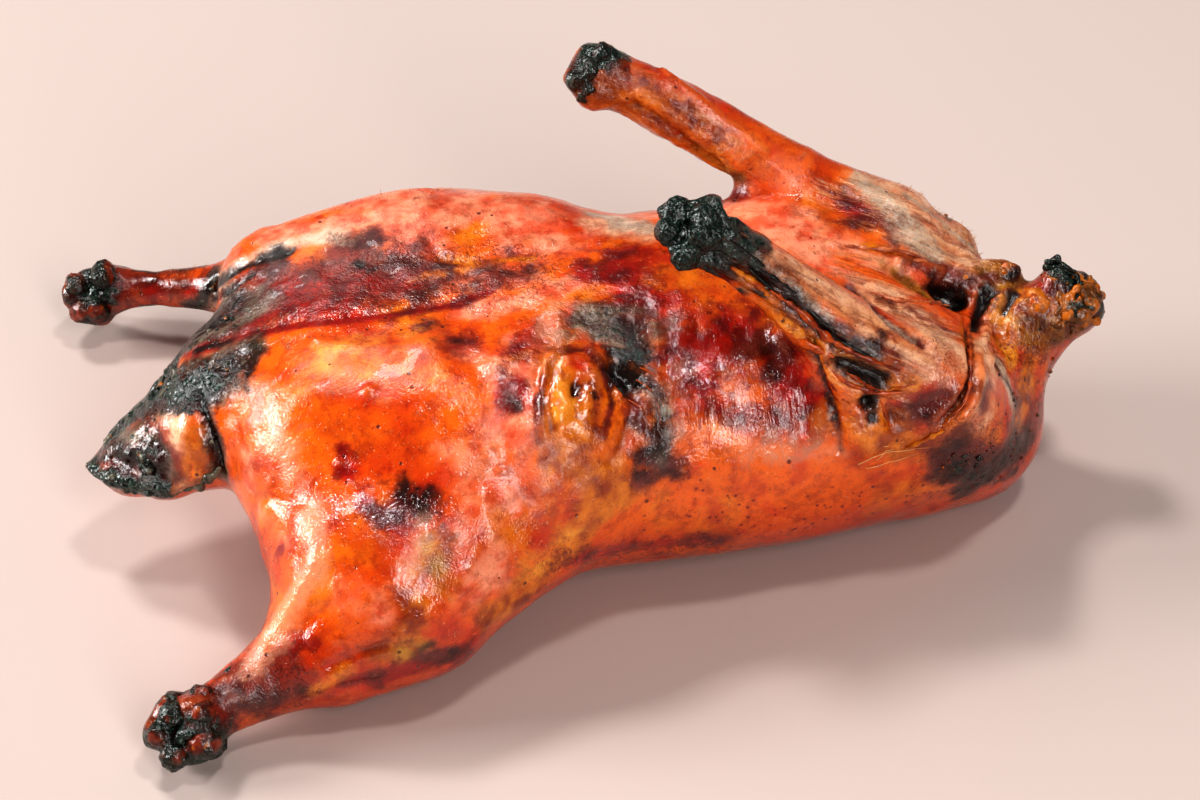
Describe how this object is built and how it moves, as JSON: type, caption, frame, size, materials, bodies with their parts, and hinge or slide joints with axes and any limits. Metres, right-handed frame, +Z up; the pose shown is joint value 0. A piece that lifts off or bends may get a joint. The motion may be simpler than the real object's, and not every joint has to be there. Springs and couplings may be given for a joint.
{
  "type": "whole barbecued duck",
  "caption": "Whole barbecued duck without head, feet and wing tips, lying on its breast with glossy orange-red skin and charred bone ends.",
  "frame": {"origin": "middle of the duck's length and width, on the surface that its breast lies on", "axes": "+X from the tail to the neck, +Y towards the duck's left side, +Z up through its back"},
  "size_m": [0.3796, 0.2616, 0.1526],
  "materials": {
    "roast_skin": "glossy glazed skin, orange to deep red, with matte patches",
    "char": "crusty burnt skin and bone ends, black with a green-grey tone"
  },
  "bodies": {
    "root": {"roast_duck": "roast_skin"}
  },
  "joints": []
}
